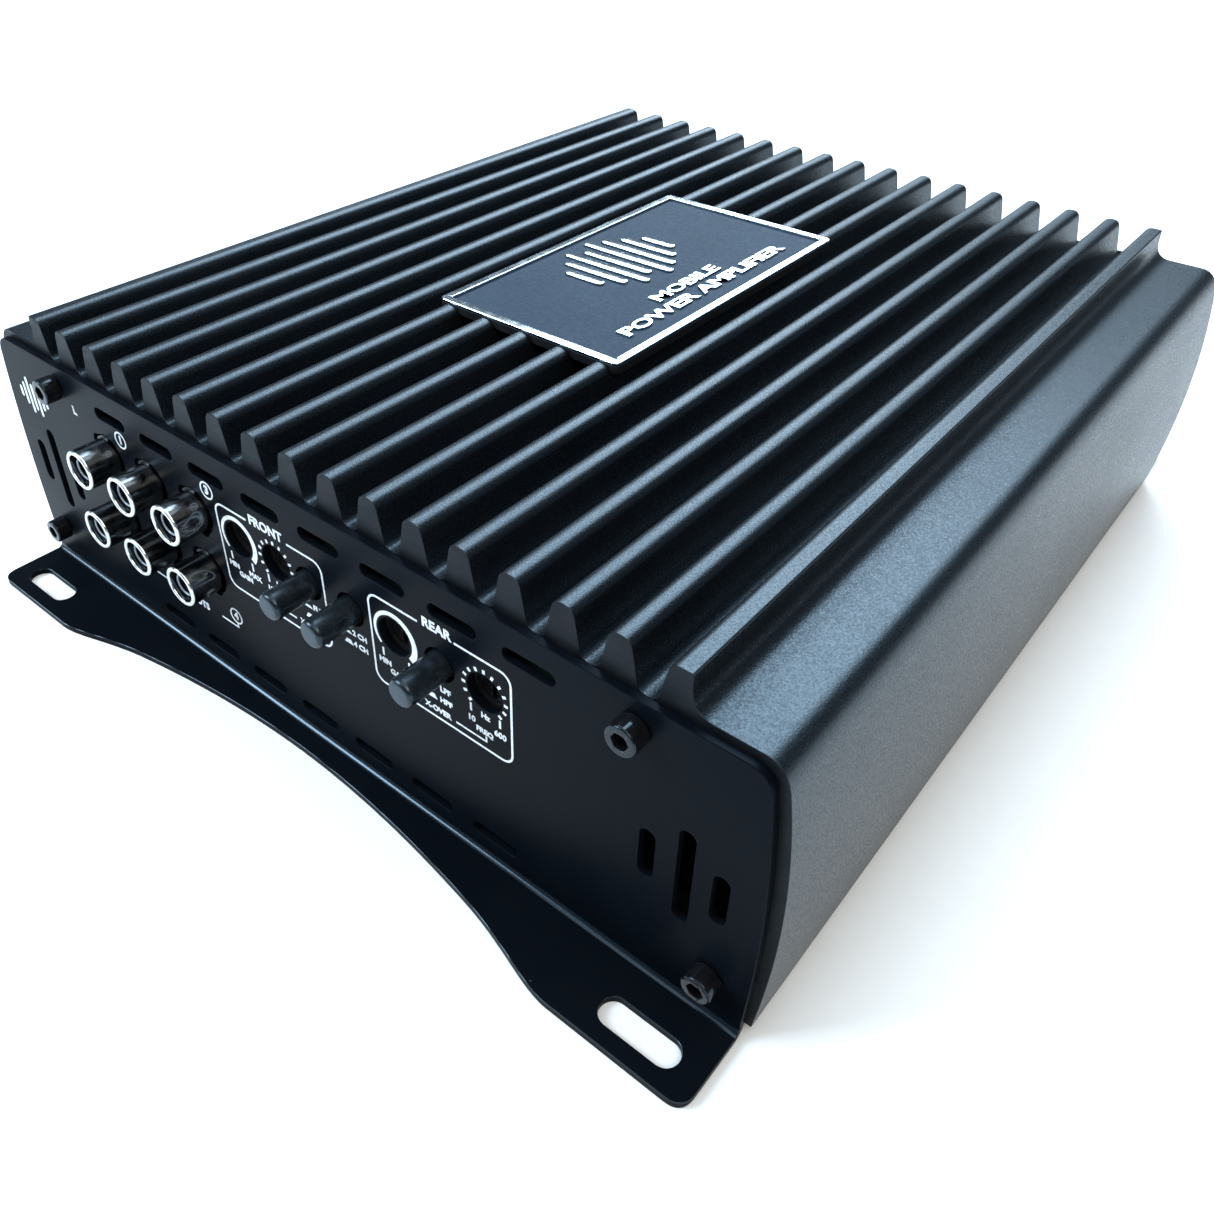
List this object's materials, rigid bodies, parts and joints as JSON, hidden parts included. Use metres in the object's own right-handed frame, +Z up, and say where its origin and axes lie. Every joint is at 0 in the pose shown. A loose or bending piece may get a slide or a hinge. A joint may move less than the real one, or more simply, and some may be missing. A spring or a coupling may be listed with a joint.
{
  "type": "car amplifier",
  "caption": "Compact car audio amplifier with a finned black heatsink case, phono inputs, push switches and slotted mounting feet",
  "frame": {"origin": "centre of the case at the mounting surface", "axes": "+X along the control panel to the right, +Y from the control panel to the power panel, +Z up"},
  "size_m": [0.1902, 0.2272, 0.0642],
  "materials": {
    "powder_coat": "fine-textured black powder coat",
    "satin_black_steel": "smooth satin black paint",
    "plain_steel": "plain zinc-plated steel",
    "badge_enamel": "matt blue-grey enamel with polished raised metal",
    "board_laminate": "green solder mask",
    "nickel": "bright nickel plate",
    "black_screw": "black oxide",
    "enamelled_copper": "enamelled copper winding",
    "capacitor_sleeve": "shrink sleeve",
    "lamp_lens": "clear lens",
    "black_plastic": "moulded black plastic",
    "button_plastic": "smooth black moulded plastic",
    "brass": "plated brass",
    "fuse_body": "tinted clear plastic"
  },
  "bodies": {
    "case": {"heatsink_case": "powder_coat", "front_panel": "satin_black_steel", "rear_panel": "satin_black_steel", "floor_plate": "plain_steel", "badge_plate": "badge_enamel", "circuit_board": "board_laminate", "phono_block": "black_plastic", "phono_sleeve_1": "nickel", "phono_sleeve_2": "nickel", "phono_sleeve_3": "nickel", "phono_sleeve_4": "nickel", "phono_sleeve_5": "nickel", "phono_sleeve_6": "nickel", "switch_body_1": "black_plastic", "switch_body_2": "black_plastic", "switch_body_3": "black_plastic", "control_body_1": "black_plastic", "control_body_2": "black_plastic", "control_body_3": "black_plastic", "control_body_4": "black_plastic", "power_terminal": "black_plastic", "speaker_socket": "black_plastic", "fuse_holder": "black_plastic", "status_lamp": "lamp_lens", "power_transformer": "enamelled_copper", "input_choke": "enamelled_copper", "capacitor_1": "capacitor_sleeve", "capacitor_2": "capacitor_sleeve", "capacitor_3": "capacitor_sleeve", "transistor_left_1": "black_plastic", "transistor_left_2": "black_plastic", "transistor_clip_left": "plain_steel", "transistor_right_1": "black_plastic", "transistor_right_2": "black_plastic", "transistor_clip_right": "plain_steel", "front_screw_1": "black_screw", "front_screw_2": "black_screw", "front_screw_3": "black_screw", "front_screw_4": "black_screw", "rear_screw_1": "black_screw", "rear_screw_2": "black_screw", "rear_screw_3": "black_screw", "rear_screw_4": "black_screw", "floor_screw_1": "black_screw", "floor_screw_2": "black_screw", "floor_screw_3": "black_screw", "floor_screw_4": "black_screw"},
    "button_1": {"push_button_1": "button_plastic"},
    "button_2": {"push_button_2": "button_plastic"},
    "button_3": {"push_button_3": "button_plastic"},
    "rotor_1": {"control_rotor_1": "black_plastic"},
    "rotor_2": {"control_rotor_2": "black_plastic"},
    "rotor_3": {"control_rotor_3": "black_plastic"},
    "rotor_4": {"control_rotor_4": "black_plastic"},
    "clamp_1": {"clamp_screw_1": "brass"},
    "clamp_2": {"clamp_screw_2": "brass"},
    "clamp_3": {"clamp_screw_3": "brass"},
    "fuse_1": {"blade_fuse_1": "fuse_body"},
    "fuse_2": {"blade_fuse_2": "fuse_body"}
  },
  "joints": [
    {"name": "button_1_press", "type": "slide", "parent": "case", "child": "button_1", "axis": [0, 1, 0], "range_m": [0, 0.003], "stiffness_N_per_m": 150, "springref_m": -0.004},
    {"name": "button_2_press", "type": "slide", "parent": "case", "child": "button_2", "axis": [0, 1, 0], "range_m": [0, 0.003], "stiffness_N_per_m": 150, "springref_m": -0.004},
    {"name": "button_3_press", "type": "slide", "parent": "case", "child": "button_3", "axis": [0, 1, 0], "range_m": [0, 0.003], "stiffness_N_per_m": 150, "springref_m": -0.004},
    {"name": "rotor_1_turn", "type": "hinge", "parent": "case", "child": "rotor_1", "pos_m": [-0.0159, -0.0937, 0.0399], "axis": [0, 1, 0], "range_deg": [-140, 140]},
    {"name": "rotor_2_turn", "type": "hinge", "parent": "case", "child": "rotor_2", "pos_m": [-0.0054, -0.0937, 0.0399], "axis": [0, 1, 0], "range_deg": [-140, 140]},
    {"name": "rotor_3_turn", "type": "hinge", "parent": "case", "child": "rotor_3", "pos_m": [0.024, -0.0937, 0.0399], "axis": [0, 1, 0], "range_deg": [-140, 140]},
    {"name": "rotor_4_turn", "type": "hinge", "parent": "case", "child": "rotor_4", "pos_m": [0.0435, -0.0937, 0.0399], "axis": [0, 1, 0], "range_deg": [-140, 140]},
    {"name": "clamp_1_turn", "type": "hinge", "parent": "case", "child": "clamp_1", "pos_m": [0.042, 0.102, 0.0331], "axis": [0, 0, 1], "range_deg": [-180, 720]},
    {"name": "clamp_2_turn", "type": "hinge", "parent": "case", "child": "clamp_2", "pos_m": [0.054, 0.102, 0.0331], "axis": [0, 0, 1], "range_deg": [-180, 720]},
    {"name": "clamp_3_turn", "type": "hinge", "parent": "case", "child": "clamp_3", "pos_m": [0.066, 0.102, 0.0331], "axis": [0, 0, 1], "range_deg": [-180, 720]},
    {"name": "fuse_1_pull", "type": "slide", "parent": "case", "child": "fuse_1", "axis": [0, 1, 0], "range_m": [0, 0.014]},
    {"name": "fuse_2_pull", "type": "slide", "parent": "case", "child": "fuse_2", "axis": [0, 1, 0], "range_m": [0, 0.014]}
  ]
}
